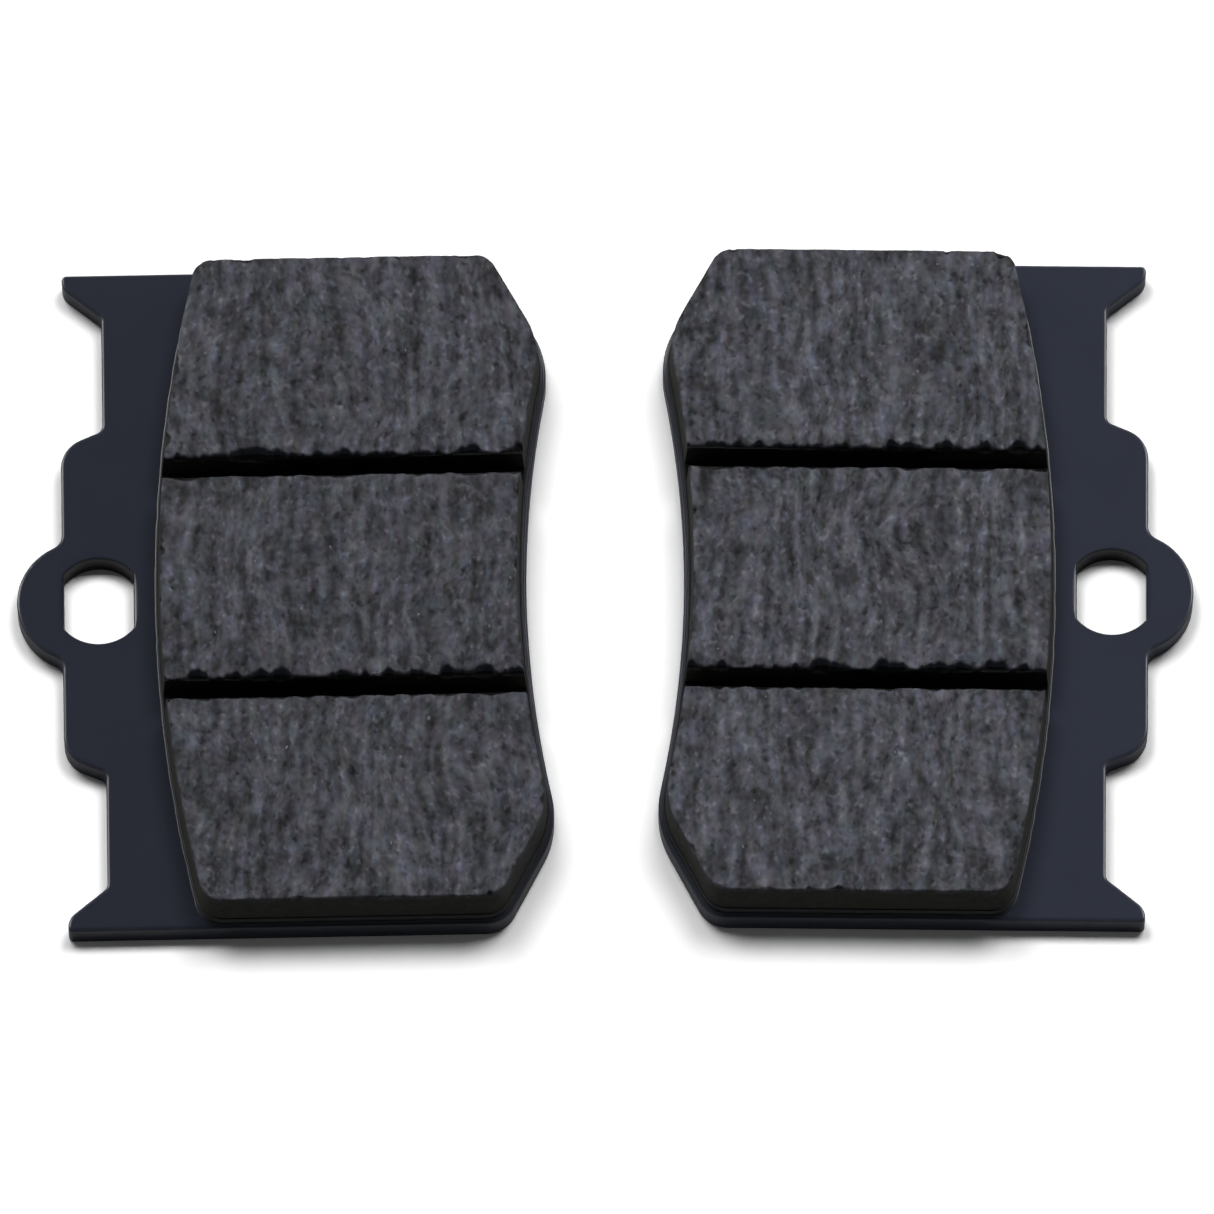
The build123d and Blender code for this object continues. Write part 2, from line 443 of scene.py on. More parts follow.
def block_stations(sizes, layers, depth, foot):
    """Rows along the pad, each with its place and its depth below the face.

    They climb one end, cross the three lands and the two slots, and go down the other end."""
    band = Band(sizes)
    fine, reach = layers.cell / 2, 3 * layers.cell
    # Depths down a wall, closer together under its upper edge, where it chips.
    levels = [0, 0.1, 0.2, 0.3, 0.45, 0.6, 0.8, 1.1, 1.5, 2.1, 2.8, 3.4]
    levels = [level * MM for level in levels]
    round_top = depth - sizes.slot_round
    turns = np.linspace(0, math.pi / 2, 5)
    across = sizes.slot_round * (1 - np.cos(turns))
    down = round_top + sizes.slot_round * np.sin(turns)
    edge = (sizes.slot_spacing + sizes.slot_width) / 2
    near = (sizes.slot_spacing - sizes.slot_width) / 2

    half = [(y, 0.0) for y in graded(0, near, layers.cell, fine, reach)[3:]]
    half = [(0.0, 0.0)] + [row for row in half if row[0] > 0]
    half += [(near, level) for level in levels[1:]]
    half += [(near + a, d) for a, d in zip(across, down)]
    half += [(y, depth) for y in spread(near + across[-1], edge - across[-1], layers.cell)[1:]]
    half += [(edge - a, d) for a, d in zip(across[::-1], down[::-1])][1:]
    half += [(edge, level) for level in levels[:0:-1]]
    inner_end = band.end - sizes.cut_round
    half += [(y, 0.0) for y in graded(edge, inner_end, layers.cell, fine, reach)]
    half += [(y, 0.0) for y in band.end_rows(layers.cell)[1:]]
    side_levels = levels + [round_top, depth, (depth + foot) / 2, foot]
    half += [(band.end, level) for level in side_levels[1:]]
    rows = [(-y, d) for y, d in half[:0:-1]] + half
    return band, np.array(rows), np.array(side_levels)


def block_blank(name, side, settings, node_name):
    """The pressed and slotted block before it is ground, as a fine grid bent round the block."""
    sizes, layers = settings.band, settings.layers
    low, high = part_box(node_name)
    foot = high.z - low.z
    band, rows, levels = block_stations(sizes, layers, foot - sizes.slot_floor, foot)
    y, row_depth = rows[:, 0], rows[:, 1]
    left, left_way = band.inner(y)
    right, right_way = band.outer(y)
    shares = graded(0, 1, layers.cell / (sizes.outer_radius - sizes.inner_radius), 0.003, 0.018)
    across = np.concatenate([np.zeros(len(levels) - 1), shares, np.ones(len(levels) - 1)])
    column_depth = np.concatenate([levels[:0:-1], np.zeros(len(shares)), levels[1:]])

    depth = np.maximum(row_depth[:, None], column_depth[None, :])
    grow = (layers.taper * depth / foot)[..., None]
    share = across[None, :, None]
    flat = (left[:, None] + grow * left_way[:, None]) * (1 - share)
    flat = flat + (right[:, None] + grow * right_way[:, None]) * share
    points = at_height(flat.reshape(-1, 2), (high.z - depth).ravel())
    count = len(across)
    index = np.arange(len(y) * count).reshape(len(y), count)
    quads = np.stack([index[:-1, :-1], index[:-1, 1:], index[1:, 1:], index[1:, :-1]], -1)
    mesh, work = start_mesh(name, points, quads.reshape(-1, 4).tolist())

    # Where each point lies from the block's edges, before it is turned into place.
    outline, ways = band.loop(layers.cell / 2)
    tree = kdtree.KDTree(len(outline))
    for i, point in enumerate(outline):
        tree.insert((*point, 0), i)
    tree.balance()
    spots = np.array([v.co for v in work.verts])
    nearest = np.array([tree.find((x, v, 0))[1] for x, v, _ in spots])
    below = high.z - spots[:, 2]
    inside = np.einsum("ij,ij->i", outline[nearest] - spots[:, :2], ways[nearest])
    rim_reach = below + np.maximum(0, inside)
    rim_way = -ways[nearest]
    edge = (sizes.slot_spacing + sizes.slot_width) / 2
    near = (sizes.slot_spacing - sizes.slot_width) / 2
    up = np.abs(spots[:, 1])
    from_slot = np.where(up >= edge - 1e-6, up - edge, near - up)
    in_slot = (up > near + 1e-6) & (up < edge - 1e-6)
    slot_reach = np.where(in_slot, 1.0, below + np.maximum(0, from_slot))
    beyond = up >= edge - 1e-6
    slot_way = np.stack([0 * up, np.where(beyond, 1.0, -1.0) * np.sign(spots[:, 1])], -1)
    slot_spot = np.stack([spots[:, 0], np.where(beyond, edge, near) * np.sign(spots[:, 1])], -1)
    on_face = (below < 1e-6).astype(float)
    in_saw_cut = (in_slot | (np.abs(from_slot) < 2e-6)) & (below > 1e-6)

    base = band.loop(layers.cell)
    flip, spin = lay_down(work, side, sizes, node_name, base[0] + layers.taper * base[1])
    made = finish_object(mesh, work)
    # The way to go back from each edge, and the nearest spot on the edge.
    turned = {
        "rim_way": rim_way,
        "rim_spot": outline[nearest],
        "slot_way": slot_way,
        "slot_spot": slot_spot,
    }
    for key, values in turned.items():
        layer = mesh.attributes.new(key, "FLOAT_VECTOR", "POINT")
        full = at_height((values * flip) @ spin.T, 0.0)
        layer.data.foreach_set("vector", full.astype(np.float32).ravel())
    flat_values = {
        "rim_reach": rim_reach,
        "slot_reach": slot_reach,
        "on_face": on_face,
        # Sawn slot walls: rougher, and darkened as painted shade.
        "saw_cut": in_saw_cut.astype(float),
    }
    for key, values in flat_values.items():
        layer = mesh.attributes.new(key, "FLOAT", "POINT")
        layer.data.foreach_set("value", values.astype(np.float32))
    return made


def grinding_tree():
    """Geometry Nodes tree that grinds the face, breaks the edges and roughens the walls."""
    names = "Streak width,Tuft length,Streak depth,Grain,Pit size,Pit depth,Edge wear,Cutter wear"
    names += ",Rim chips,Slot chips,Chip length,Wall grain,Seed"
    sockets = [(name, "NodeSocketFloat") for name in names.split(",")]
    sockets.append(("Finish", "NodeSocketMaterial"))
    tree, given, output = tree_with_inputs("Grinding and edge wear", sockets)
    place = node(tree, "GeometryNodeInputPosition")
    attributes = {}
    names = ("rim_way", "rim_spot", "rim_reach", "slot_way", "slot_spot", "slot_reach")
    for name in (*names, "on_face", "saw_cut"):
        kind = "FLOAT_VECTOR" if name.endswith(("way", "spot")) else "FLOAT"
        attributes[name] = node(tree, "GeometryNodeInputNamedAttribute", {"Name": name}, data_type=kind)

    # Patterns: hollows along the grinding direction, grains, torn places and the ragged edges.
    # A ragged edge takes its pattern from the edge itself, so that a bite is one clean facet.
    patterns = {}
    for name, start, across, along, detail in (
        ("hollow", place, "Streak width", "Tuft length", 1.0),
        ("grain", place, "Grain", "Grain", 2.0),
        ("torn", place, "Pit size", "Pit size", 3.0),
        ("rim", attributes["rim_spot"], "Chip length", "Chip length", 2.5),
        ("slot", attributes["slot_spot"], "Chip length", "Chip length", 2.5),
    ):
        size = node(tree, "ShaderNodeCombineXYZ", {0: given[across], 1: given[along], 2: given[across]})
        spot = node(tree, "ShaderNodeVectorMath", {0: start, 1: size}, operation="DIVIDE")
        values = {"Vector": spot, "W": given["Seed"], "Scale": 1.0, "Detail": detail, "Roughness": 0.6}
        patterns[name] = node(tree, "ShaderNodeTexNoise", values, noise_dimensions="4D")
    torn = {"Value": patterns["torn"], "From Min": 0.6, "From Max": 0.7}
    pit = node(tree, "ShaderNodeMapRange", torn, interpolation_type="SMOOTHSTEP")
    drop = 0.0
    for pattern, depth in (
        (patterns["hollow"], "Streak depth"),
        (patterns["grain"], "Streak depth"),
        (pit, "Pit depth"),
    ):
        part = {0: pattern, 1: given[depth], 2: drop}
        drop = node(tree, "ShaderNodeMath", part, operation="MULTIPLY_ADD")
    drop = node(tree, "ShaderNodeMath", {0: drop, 1: attributes["on_face"]}, operation="MULTIPLY")
    down = node(tree, "ShaderNodeVectorMath", {0: (0.0, 0.0, -1.0), "Scale": drop}, operation="SCALE")
    moved = node(tree, "ShaderNodeVectorMath", {0: place, 1: down}, operation="ADD")

    # Broken edges: each point near an edge goes back to a bevel whose size wanders along it.
    # The cutter tears the edge that it leaves more than the edge that it enters.
    way = node(tree, "ShaderNodeSeparateXYZ", {0: attributes["slot_way"]}).outputs["Y"]
    leaving = node(tree, "ShaderNodeMapRange", {0: way, "From Min": -1.0, "To Min": 0.3})
    torn_size = {0: leaving, 1: given["Slot chips"]}
    torn_size = node(tree, "ShaderNodeMath", torn_size, operation="MULTIPLY")
    torn_wear = {0: leaving, 1: given["Cutter wear"], 2: given["Edge wear"]}
    torn_wear = node(tree, "ShaderNodeMath", torn_wear, operation="MULTIPLY_ADD")
    chips = 0.0
    for edge, largest, wear, start in (
        ("rim", given["Rim chips"], given["Edge wear"], 0.53),
        ("slot", torn_size, torn_wear, 0.42),
    ):
        uneven = {"Value": patterns[edge], "From Min": 0.3, "From Max": 0.7, "To Min": 0.3, "To Max": 1.7}
        uneven = node(tree, "ShaderNodeMapRange", uneven)
        least = node(tree, "ShaderNodeMath", {0: uneven, 1: wear}, operation="MULTIPLY")
        bite = {"Value": patterns[edge], "From Min": start, "From Max": start + 0.22}
        bite = node(tree, "ShaderNodeMapRange", bite, interpolation_type="SMOOTHSTEP")
        size = {0: bite, 1: largest, 2: least}
        size = node(tree, "ShaderNodeMath", size, operation="MULTIPLY_ADD")
        reach = attributes[edge + "_reach"]
        left_over = node(tree, "ShaderNodeMath", {0: size, 1: reach}, operation="SUBTRACT")
        broken = node(tree, "ShaderNodeMath", {0: left_over, 1: 0.0}, operation="MAXIMUM")
        chips = node(tree, "ShaderNodeMath", {0: broken, 1: chips}, operation="MAXIMUM")
        half = node(tree, "ShaderNodeMath", {0: broken, 1: 0.5}, operation="MULTIPLY")
        way = attributes[edge + "_way"]
        way = node(tree, "ShaderNodeVectorMath", {0: way, 1: (0.0, 0.0, -1.0)}, operation="ADD")
        back = node(tree, "ShaderNodeVectorMath", {0: way, "Scale": half}, operation="SCALE")
        moved = node(tree, "ShaderNodeVectorMath", {0: moved, 1: back}, operation="ADD")

    # Walls draw back a little, more where the slot cutter passed.
    wall = node(tree, "ShaderNodeMath", {0: 1.0, 1: attributes["on_face"]}, operation="SUBTRACT")
    wall = {0: attributes["saw_cut"], 1: 2.0, 2: wall}
    wall = node(tree, "ShaderNodeMath", wall, operation="MULTIPLY_ADD")
    rough = {0: patterns["grain"], 1: given["Wall grain"]}
    rough = node(tree, "ShaderNodeMath", rough, operation="MULTIPLY")
    for factor in (wall, -1.0):
        rough = node(tree, "ShaderNodeMath", {0: rough, 1: factor}, operation="MULTIPLY")
    facing = node(tree, "GeometryNodeInputNormal")
    inward = node(tree, "ShaderNodeVectorMath", {0: facing, "Scale": rough}, operation="SCALE")
    moved = node(tree, "ShaderNodeVectorMath", {0: moved, 1: inward}, operation="ADD")

    chip = node(tree, "ShaderNodeMapRange", {"Value": chips, "From Max": 0.4 * MM})
    shape = given["Geometry"]
    for name, value in (("pit", pit), ("chip", chip)):
        stored = {"Geometry": shape, "Name": name, "Value": value}
        shape = node(tree, "GeometryNodeStoreNamedAttribute", stored, data_type="FLOAT", domain="POINT")
    shape = node(tree, "GeometryNodeSetPosition", {"Geometry": shape, "Position": moved})
    fold = node(tree, "GeometryNodeInputMeshEdgeAngle").outputs["Unsigned Angle"]
    gentle = node(tree, "FunctionNodeCompare", {"A": fold, "B": 0.9}, operation="LESS_THAN")
    for domain, value in (("EDGE", gentle), ("FACE", True)):
        smooth = {"Geometry": shape, "Shade Smooth": value}
        shape = node(tree, "GeometryNodeSetShadeSmooth", smooth, domain=domain)
    real = node(tree, "GeometryNodeRealizeInstances", {"Geometry": shape})
    finish = {"Geometry": real, "Material": given["Finish"]}
    feed(tree, output, {"Geometry": node(tree, "GeometryNodeSetMaterial", finish)})
    return tree


# Flecks


def fleck_tree():
    """Geometry Nodes tree that sets flakes of mineral into the ground face, level with it."""
    sockets = [
        ("Density", "NodeSocketFloat"),
        ("Fleck size", "NodeSocketFloat"),
        ("Sunk", "NodeSocketFloat"),
        ("Seed", "NodeSocketInt"),
        ("Finish", "NodeSocketMaterial"),
    ]
    tree, given, output = tree_with_inputs("Flecks in the face", sockets)
    on_face, chip = (
        node(tree, "GeometryNodeInputNamedAttribute", {"Name": name}, data_type="FLOAT")
        for name in ("on_face", "chip")
    )
    ground = node(tree, "ShaderNodeMath", {0: on_face, 1: chip}, operation="SUBTRACT")
    flat = node(tree, "FunctionNodeCompare", {"A": ground, "B": 0.9}, operation="GREATER_THAN")
    scatter = {"Mesh": given["Geometry"], "Selection": flat, "Density": given["Density"]}
    scatter["Seed"] = given["Seed"]
    points = node(tree, "GeometryNodeDistributePointsOnFaces", scatter)
    down = node(tree, "ShaderNodeMath", {0: given["Sunk"], 1: -1.0}, operation="MULTIPLY")
    offset = node(tree, "ShaderNodeCombineXYZ", {"Z": down})
    sunk = node(tree, "GeometryNodeSetPosition", {"Geometry": points, "Offset": offset})
    ball = {"Radius": given["Fleck size"], "Subdivisions": 2}
    flake = node(tree, "GeometryNodeMeshIcoSphere", ball)
    placed = {"Points": sunk, "Instance": flake}
    for name, low, high in (
        ("Scale", (0.4, 0.5, 0.1), (1.1, 1.8, 0.2)),
        ("Rotation", (-0.1, -0.1, -0.4), (0.1, 0.1, 0.4)),
    ):
        between = {"Min": low, "Max": high, "Seed": given["Seed"]}
        placed[name] = node(tree, "FunctionNodeRandomValue", between, data_type="FLOAT_VECTOR")
    set_in = node(tree, "GeometryNodeInstanceOnPoints", placed)
    real = node(tree, "GeometryNodeRealizeInstances", {"Geometry": set_in})
    finish = {"Geometry": real, "Material": given["Finish"]}
    feed(tree, output, {"Geometry": node(tree, "GeometryNodeSetMaterial", finish)})
    return tree


# Rings: the underlayer and the bead


def wander(points, size, seed):
    """A value from 0 to 1 that changes slowly from point to point."""
    values = [noise.noise(Vector((x / size, y / size, seed))) for x, y in points]
    return np.clip(0.5 + 0.7 * np.array(values), 0, 1)


def ring_faces(rings, count):
    """Quads between rings of as many points each."""
    index = np.arange(rings * count).reshape(rings, count)
    around = np.roll(index, -1, axis=1)
    quads = np.stack([index[:-1], around[:-1], around[1:], index[1:]], -1)
    return quads.reshape(-1, 4).tolist()


def keying_rings(sizes):
    """The middle of each keying hole in the pad's frame, with a circle's directions."""
    turns = np.linspace(0, math.tau, 73)[:-1]
    circle = np.stack([np.cos(turns), np.sin(turns)], -1)
    for way in (-1, 1):
        yield np.array([-sizes.outset - sizes.keying_inset, way * sizes.keying_spacing / 2]), circle


# Finishes


def shader(name):
    """A new material, its tree and its shader, with the place on the object in millimetres."""
    material = bpy.data.materials.new(name)
    material.use_nodes = True
    tree = material.node_tree
    object_place = node(tree, "ShaderNodeTexCoord").outputs["Object"]
    scaled = {0: object_place, "Scale": 1 / MM}
    place = node(tree, "ShaderNodeVectorMath", scaled, operation="SCALE")
    return material, tree, tree.nodes["Principled BSDF"], place


def coat_finish(name, colours, tone):
    """Cathodic electrocoat, black with a blue cast, baked on blanked steel.

    It gives an even satin skin with a faint orange peel, and a slightly paler line over the edges,
    partly where it draws thin and partly as a painted highlight. The pin hole's wall is darkened
    as painted shade. The blanking marks of the walls show through it."""
    material, tree, surface, place = shader(name)
    cloud = node(tree, "ShaderNodeTexNoise", {"Vector": place, "Scale": 0.09, "Detail": 2.0})
    peel = node(tree, "ShaderNodeTexNoise", {"Vector": place, "Scale": 1.1, "Detail": 2.0})
    thin = node(tree, "ShaderNodeTexNoise", {"Vector": place, "Scale": 0.5, "Detail": 4.0})
    # Painted highlight, partly thin coat as well: the fillet faces take the paler edge colour in patches, on
    # every side alike.
    edge = node(tree, "ShaderNodeAttribute", attribute_name="edge")
    lighter_share = node(tree, "ShaderNodeMapRange", {"Value": thin, "From Min": 0.3, "From Max": 0.6})
    paler = node(tree, "ShaderNodeMath", {0: edge, 1: lighter_share}, operation="MULTIPLY")
    # tone is each plate's painted lighting factor.
    base = [c * tone for c in colours.coat]
    clouds = {0: cloud, 6: rgba(base, 0.9), 7: rgba(base, 1.12)}
    clouded = node(tree, "ShaderNodeMix", clouds, data_type="RGBA")
    worn = {0: paler, 6: clouded, 7: rgba(colours.coat_edge, tone)}
    final = node(tree, "ShaderNodeMix", worn, data_type="RGBA")
    # Painted shade: the pin hole's wall is darkened to 0.3 of the coat, for the shade inside the hole.
    bore = node(tree, "ShaderNodeAttribute", attribute_name="bore")
    hole_shade_mix = {0: bore, 6: final, 7: rgba(base, 0.3)}
    final = node(tree, "ShaderNodeMix", hole_shade_mix, data_type="RGBA")
    # Blanking leaves fine upright marks on the walls, here 0.35 mm apart so that they show.
    upright = {0: place, 1: (2.8, 2.8, 0.12)}
    upright = node(tree, "ShaderNodeVectorMath", upright, operation="MULTIPLY")
    marks = node(tree, "ShaderNodeTexNoise", {"Vector": upright, "Scale": 1.0, "Detail": 2.0})
    facing = node(tree, "ShaderNodeNewGeometry").outputs["Normal"]
    up = node(tree, "ShaderNodeSeparateXYZ", {0: facing}).outputs["Z"]
    level = node(tree, "ShaderNodeMath", {0: up}, operation="ABSOLUTE")
    wall = node(tree, "ShaderNodeMapRange", {"Value": level, "From Min": 0.6, "From Max": 0.1})
    marks = node(tree, "ShaderNodeMath", {0: marks, 1: wall}, operation="MULTIPLY")
    height = node(tree, "ShaderNodeMath", {0: marks, 1: 3.0, 2: peel}, operation="MULTIPLY_ADD")
    bump = {"Strength": 0.35, "Distance": 0.01 * MM, "Height": height}
    satin = node(tree, "ShaderNodeMapRange", {"Value": cloud, "To Min": 0.34, "To Max": 0.42})
    skin = {"Base Color": final, "Roughness": satin, "Normal": node(tree, "ShaderNodeBump", bump)}
    feed(tree, surface, {**skin, "Specular IOR Level": 0.25})
    return material


def compound_finish(name, colours, grind, tone):
    """Friction compound: resin, mineral filler and graphite, pressed hot and then ground.

    The ground face is dry and mottled in pale and dark tufts drawn out along the grinding
    direction, the pressed walls keep a smooth brownish skin, and broken edges are darkened, partly
    for the dark inside and partly as painted shade. The sawn slot walls are painted nearly black
    as shade."""
    material, tree, surface, place = shader(name)

    # Streaks lean and wander a little, as a pad rocks under the grinding wheel.
    sway = node(tree, "ShaderNodeTexNoise", {"Vector": place, "Scale": 0.08, "Detail": 1.0})
    lean = {0: sway.outputs["Color"], 1: (4.0, 0.0, 0.0)}
    lean = node(tree, "ShaderNodeVectorMath", lean, operation="MULTIPLY")
    swayed = node(tree, "ShaderNodeVectorMath", {0: place, 1: lean}, operation="ADD")

    # Each kind of mark has its scale across the pad and along it, the stretch of the noise that
    # it takes, and what it adds to the tone at the two ends of that stretch.
    # The finest grain is a little coarser than in the real compound, so that it shows.
    width, grain = grind.streak_width / MM, grind.grain / MM
    sizes = (
        (width, grind.tuft_length / MM, 0.105),
        (width * 0.85, grind.streak_length / MM, 0.095),
        (grain, grain * 1.4, 0.06),
        (grain / 2, grain, 0.018),
        (grind.patch / MM, grind.patch / MM * 1.4, 0.025),
    )
    marks = [(1 / across, 1 / along, 0.36, 0.64, -share, share) for across, along, share in sizes]
    # Pale grains and dark specks stand out of the mottle here and there.
    specks = [(0.8 / grain, 0.65 / grain, *ends) for ends in ((0.58, 0.78, 0, 0.24), (0.42, 0.24, 0, -0.18))]
    kinds = [(i, mark, {"clamp": False}) for i, mark in enumerate(marks)]
    kinds += [(11 + i, speck, {"interpolation_type": "SMOOTHSTEP"}) for i, speck in enumerate(specks)]
    total = 0.5
    for seed, (across, along, start, end, low, high), blend in kinds:
        scale = {0: swayed, 1: (across, along, across)}
        spot = node(tree, "ShaderNodeVectorMath", scale, operation="MULTIPLY")
        values = {"Vector": spot, "W": grind.seed + seed, "Scale": 1.0, "Detail": 0.5}
        mark = node(tree, "ShaderNodeTexNoise", values, noise_dimensions="4D")
        mark = {"Value": mark, "From Min": start, "From Max": end, "To Min": low, "To Max": high}
        mark = node(tree, "ShaderNodeMapRange", mark, **blend)
        total = node(tree, "ShaderNodeMath", {0: mark, 1: total}, operation="ADD")
    # tone is each block's painted lighting factor.
    dark, light, skin, inside = (
        [c * tone for c in getattr(colours, "compound_" + key)]
        for key in ("dark", "light", "skin", "inside")
    )
    # Pale filler stands out in fewer and brighter spots than the dark does.
    share = node(tree, "ShaderNodeMath", {0: total, 1: 1.7}, operation="POWER")
    tones = {0: share, 6: rgba(dark), 7: rgba(light)}
    ground = node(tree, "ShaderNodeMix", tones, data_type="RGBA")
    # Some grains are a little rosy and some a little blue.
    drawn = node(tree, "ShaderNodeVectorMath", {0: swayed, 1: (1.1, 0.5, 1.1)}, operation="MULTIPLY")
    hue = node(tree, "ShaderNodeTexNoise", {"Vector": drawn, "Scale": 1.0, "Detail": 1.0})
    cast = {0: hue.outputs["Color"], 1: (0.34, 0.22, 0.4), 2: (0.825, 0.89, 0.84)}
    cast = node(tree, "ShaderNodeVectorMath", cast, operation="MULTIPLY_ADD")
    ground = node(tree, "ShaderNodeVectorMath", {0: ground, 1: cast}, operation="MULTIPLY")
    # The pressed skin is even, with a slow change of tone.
    clouds = node(tree, "ShaderNodeTexNoise", {"Vector": place, "Scale": 0.9, "Detail": 3.0})
    skins = {0: clouds, 6: rgba(skin, 0.6), 7: rgba(skin)}
    final = node(tree, "ShaderNodeMix", skins, data_type="RGBA")
    # The walls are lighter in their top 1.2 mm, halfway to the ground face's colour at the face and back to
    # the skin 1.2 mm down.
    below = node(tree, "ShaderNodeAttribute", attribute_name="rim_reach").outputs["Fac"]
    lighter_share = {"Value": below, "From Max": 1.2 * MM, "To Min": 0.5, "To Max": 0.0}
    skins = {0: node(tree, "ShaderNodeMapRange", lighter_share), 6: final, 7: ground}
    final = node(tree, "ShaderNodeMix", skins, data_type="RGBA")
    for attribute, share, over in (
        ("on_face", 1.0, ground),
        ("pit", 0.55, rgba(inside)),
        # Chips take the darker inside, which also stands in for painted shade in them.
        ("chip", 0.95, rgba(inside)),
        # Painted shade: the sawn slot walls go nearly black.
        ("saw_cut", 0.85, rgba(inside, 0.15)),
    ):
        there = node(tree, "ShaderNodeAttribute", attribute_name=attribute).outputs["Fac"]
        amount = node(tree, "ShaderNodeMath", {0: there, 1: share}, operation="MULTIPLY")
        final = node(tree, "ShaderNodeMix", {0: amount, 6: final, 7: over}, data_type="RGBA")

    crumbs = {"Vector": place, "Scale": 5.0, "Detail": 3.0, "Roughness": 0.6}
    crumbs = node(tree, "ShaderNodeTexNoise", crumbs)
    bump = {"Strength": 0.5, "Distance": 0.03 * MM, "Height": crumbs}
    dry = node(tree, "ShaderNodeMapRange", {"Value": total, "To Min": 0.92, "To Max": 0.7})
    face = {"Base Color": final, "Roughness": dry, "Normal": node(tree, "ShaderNodeBump", bump)}
    feed(tree, surface, {**face, "Specular IOR Level": 0.15})
    return material


def layer_finish(name, tint, rough, tone, gloss):
    """A moulded layer of the stack: near-black resin board or pressed-out phenolic adhesive.

    Cloudy tone and a fine grain, so that it reads as cured resin and not as paint."""
    material, tree, surface, place = shader(name)
    cloud = node(tree, "ShaderNodeTexNoise", {"Vector": place, "Scale": 0.6, "Detail": 4.0})
    base = [c * tone for c in tint]
    clouds = {0: cloud, 6: rgba(base, 0.6), 7: rgba(base, 1.4)}
    mixed = node(tree, "ShaderNodeMix", clouds, data_type="RGBA")
    grain = node(tree, "ShaderNodeTexNoise", {"Vector": place, "Scale": 4.0, "Detail": 3.0})
    bump = {"Strength": 0.5, "Distance": 0.02 * MM, "Height": grain}
    uneven = {"Value": cloud, "To Min": rough - 0.08, "To Max": rough + 0.08}
    uneven = node(tree, "ShaderNodeMapRange", uneven)
    resin = {"Base Color": mixed, "Roughness": uneven, "Normal": node(tree, "ShaderNodeBump", bump)}
    feed(tree, surface, {**resin, "Specular IOR Level": gloss})
    return material


def fleck_finish(name, tint):
    """Flakes of pale mineral in the compound, ground flat, which read as brighter specks."""
    material, tree, surface, place = shader(name)
    shade = node(tree, "ShaderNodeTexNoise", {"Vector": place, "Scale": 1.5, "Detail": 1.0})
    tones = {0: shade, 6: rgba(tint, 0.3), 7: rgba(tint)}
    mixed = node(tree, "ShaderNodeMix", tones, data_type="RGBA")
    feed(tree, surface, {"Base Color": mixed, "Roughness": 0.6, "Specular IOR Level": 0.3})
    return material


# Operators


def hole_rings(band, layers, top):
    """The double-D pin hole: its wall from the back face up, and the soft round of its mouth.

    Coating and wear have turned the mouth's chamfer into this round, widest where the flats
    carry the pin and narrow round the arcs."""
    flat, corner_round = band.hole_flat, band.hole_corner
    x = flat - corner_round
    y = math.sqrt((band.hole_radius - corner_round) ** 2 - x**2)
    meet = math.atan2(y, x)
    parts = []
    for start, end, count, centre, radius in (
        (0, meet, 7, (x, y), corner_round),
        (meet, math.pi - meet, 29, (0, 0), band.hole_radius),
        (math.pi - meet, math.pi, 7, (-x, y), corner_round),
    ):
        turn = np.linspace(start, end, count)
        way = np.stack([np.cos(turn), np.sin(turn)], -1)
        parts.append(np.concatenate([np.array(centre) + radius * way, way], -1))
    side = [(-flat, level, -1, 0) for level in np.linspace(y, -y, 17)[1:-1]]
    parts = np.concatenate([parts[0], parts[1][1:-1], parts[2], side])
    parts = np.concatenate([parts, -parts])
    points, ways = parts[:, :2], parts[:, 2:]
    bulge = np.where(np.abs(ways[:, :1]) > 0.9999, 1 - (points[:, 1:] / y) ** 2, 0)
    reach = (layers.mouth_narrow + (layers.mouth_reach - layers.mouth_narrow) * bulge) * ways
    rings = [at_height(points, 0.0)]
    for turn in np.linspace(0, math.pi / 2, 9):
        ring = points + (1 - math.cos(turn)) * reach
        rings.append(at_height(ring, top - layers.mouth_depth * (1 - math.sin(turn))))
    return np.concatenate(rings), ring_faces(len(rings), len(points))


def cut_hole(work, points, faces, top, reach):
    """Put new walls round the pin hole, and close the plate's flats round them again."""
    middle = Vector(points.mean(0)).xy
    near = {v for v in work.verts if (v.co.xy - middle).length < reach}
    levels = [{v for v in work.verts if abs(v.co.z - z) < 0.001 * MM} for z in (0, top)]
    gone = [f for f in work.faces if any(set(f.verts) <= verts for verts in (near, *levels))]
    bmesh.ops.delete(work, geom=gone, context="FACES")
    made = [work.verts.new(point) for point in points]
    for face in faces:
        work.faces.new([made[i] for i in face])
    close_rims(work)


